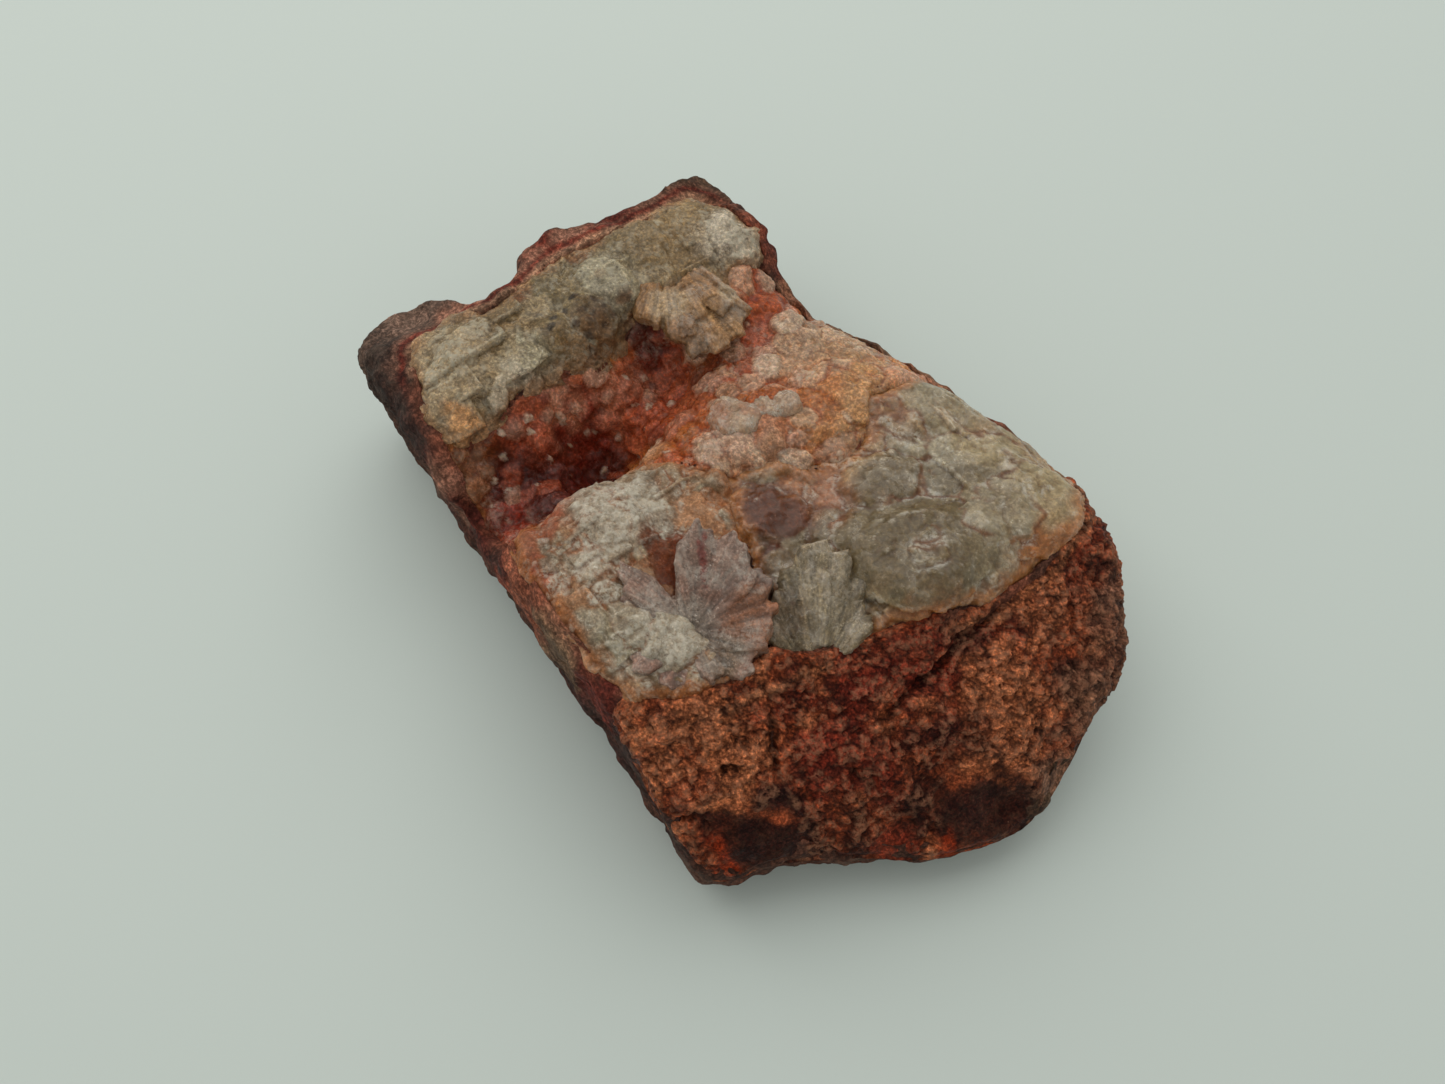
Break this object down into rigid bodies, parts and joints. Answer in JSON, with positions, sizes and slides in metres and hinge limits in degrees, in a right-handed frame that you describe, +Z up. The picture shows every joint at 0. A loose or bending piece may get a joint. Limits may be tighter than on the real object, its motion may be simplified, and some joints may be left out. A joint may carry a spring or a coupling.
{
  "type": "geode half",
  "caption": "Broken half of a crystal geode: iron-red host rock, pale crystal wall, red druse-lined hollow, frosted mound, smoky crystal bed and blade groups, resting on a flat base.",
  "frame": {"origin": "centre of the outline seen from above, on the flat base", "axes": "+X along the longest side towards the granular slope, +Y away from the straight broken side, +Z up out of the broken top"},
  "size_m": [0.1244, 0.0833, 0.0426],
  "materials": {
    "host_rock": "granular iron-red rock with a dull weathered rind",
    "pale_crystal": "broken grey-green to cream crystal, translucent, faintly stained",
    "red_druse": "glassy red to orange druse with frosted caps",
    "frosted_crystal": "white frosted crystal crust with peach pits",
    "smoky_crystal": "translucent grey-green to smoky crystal",
    "pink_blades": "glossy striated pinkish-white blades",
    "green_blades": "glossy striated greenish-white blades",
    "tan_blades": "tan-grey translucent blades",
    "clear_crystal": "clear crystal with a frosted skin"
  },
  "bodies": {
    "root": {"host_rock": "host_rock", "pale_band": "pale_crystal", "druse_lining": "red_druse", "frosted_mound": "frosted_crystal", "smoky_bed": "smoky_crystal", "blade_rosette": "pink_blades", "blade_sheaf": "green_blades", "ledge_blades": "tan_blades", "clear_cluster": "clear_crystal"}
  },
  "joints": []
}
